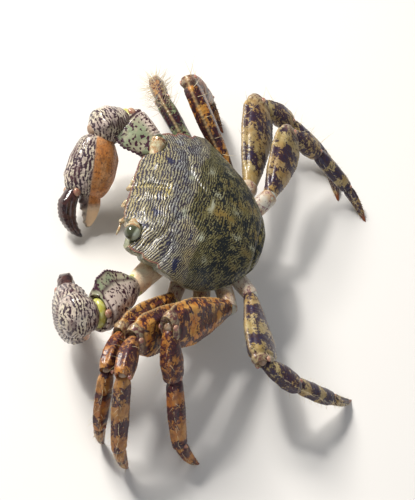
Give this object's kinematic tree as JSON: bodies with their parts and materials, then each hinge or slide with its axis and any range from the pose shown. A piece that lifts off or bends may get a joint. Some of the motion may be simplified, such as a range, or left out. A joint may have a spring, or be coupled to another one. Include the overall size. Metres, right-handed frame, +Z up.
{
  "type": "shore crab",
  "caption": "Life-size still model of a marbled shore crab standing on eight legs, body raised, both claws held in front near the floor.",
  "frame": {"origin": "on the floor, in the middle of the standing crab's outline seen from above", "axes": "+Z up, the crab faces -Y, its left side is +X; the feet stand on Z = 0"},
  "size_m": [0.093, 0.0688, 0.0248],
  "materials": {
    "back_shell": "wet olive and tan shell with fine dark wavy lines across it",
    "under_shell": "pale cream shell, softly polished",
    "leg_shell": "yellow-tan shell marbled with purple-brown, slightly wet",
    "claw_shell": "greyish cream shell with a fine dark net, slightly wet",
    "claw_finger": "dark brown polished claw tip",
    "eye": "glossy black-olive cornea"
  },
  "bodies": {
    "root": {"carapace": "back_shell", "underbody": "under_shell", "abdomen": "under_shell", "maxillipeds": "under_shell", "eyestalk_l": "leg_shell", "eye_l": "eye", "antenna_l": "leg_shell", "claw_l_base": "claw_shell", "claw_l_merus": "claw_shell", "claw_l_carpus": "claw_shell", "claw_l_palm": "claw_shell", "claw_l_finger": "claw_finger", "eyestalk_r": "leg_shell", "eye_r": "eye", "antenna_r": "leg_shell", "claw_r_base": "claw_shell", "claw_r_merus": "claw_shell", "claw_r_carpus": "claw_shell", "claw_r_palm": "claw_shell", "claw_r_finger": "claw_finger", "leg2_l_base": "leg_shell", "leg2_l_merus": "leg_shell", "leg2_l_carpus": "leg_shell", "leg2_l_propodus": "leg_shell", "leg2_l_dactylus": "leg_shell", "leg2_r_base": "leg_shell", "leg2_r_merus": "leg_shell", "leg2_r_carpus": "leg_shell", "leg2_r_propodus": "leg_shell", "leg2_r_dactylus": "leg_shell", "leg3_l_base": "leg_shell", "leg3_l_merus": "leg_shell", "leg3_l_carpus": "leg_shell", "leg3_l_propodus": "leg_shell", "leg3_l_dactylus": "leg_shell", "leg3_r_base": "leg_shell", "leg3_r_merus": "leg_shell", "leg3_r_carpus": "leg_shell", "leg3_r_propodus": "leg_shell", "leg3_r_dactylus": "leg_shell", "leg4_l_base": "leg_shell", "leg4_l_merus": "leg_shell", "leg4_l_carpus": "leg_shell", "leg4_l_propodus": "leg_shell", "leg4_l_dactylus": "leg_shell", "leg4_r_base": "leg_shell", "leg4_r_merus": "leg_shell", "leg4_r_carpus": "leg_shell", "leg4_r_propodus": "leg_shell", "leg4_r_dactylus": "leg_shell", "leg5_l_base": "leg_shell", "leg5_l_merus": "leg_shell", "leg5_l_carpus": "leg_shell", "leg5_l_propodus": "leg_shell", "leg5_l_dactylus": "leg_shell", "leg5_r_base": "leg_shell", "leg5_r_merus": "leg_shell", "leg5_r_carpus": "leg_shell", "leg5_r_propodus": "leg_shell", "leg5_r_dactylus": "leg_shell"}
  },
  "joints": []
}
